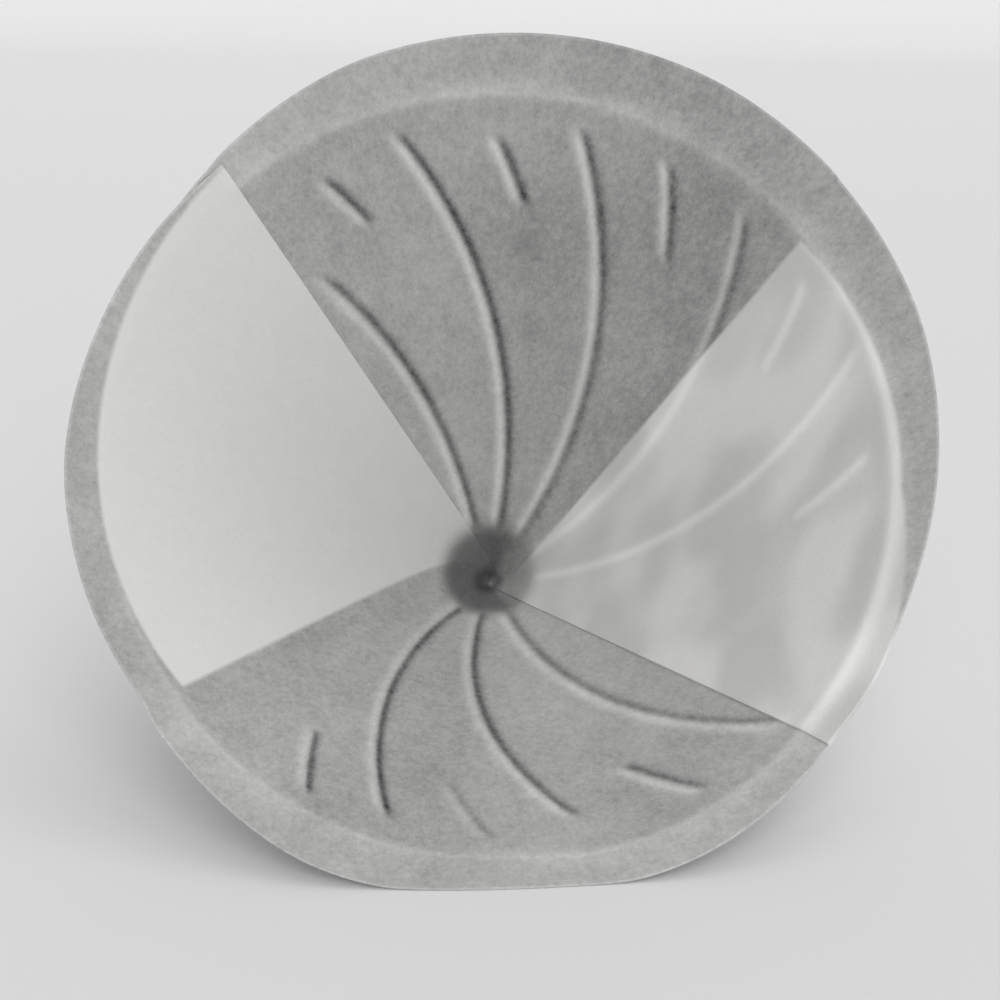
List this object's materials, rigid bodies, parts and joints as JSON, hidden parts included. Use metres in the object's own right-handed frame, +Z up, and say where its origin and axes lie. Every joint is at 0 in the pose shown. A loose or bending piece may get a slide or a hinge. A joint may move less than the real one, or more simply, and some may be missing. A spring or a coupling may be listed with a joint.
{
  "type": "paper coffee filter",
  "caption": "Paper coffee filter: a round sheet folded into an open cone with a flat pleat on either side, for pour-over brewing.",
  "frame": {"origin": "bottom centre of the bounding box: the cone lies on its side on a narrow flat, and the origin is on that floor under the middle of the box", "axes": "+Z up from the floor, -Y from the closed tip toward the open mouth, +X to the right looking into the mouth"},
  "size_m": [0.1146, 0.1182, 0.1024],
  "materials": {
    "filter_paper": "uncoated matte crepe paper"
  },
  "bodies": {
    "root": {"coffee_filter": "filter_paper"}
  },
  "joints": []
}
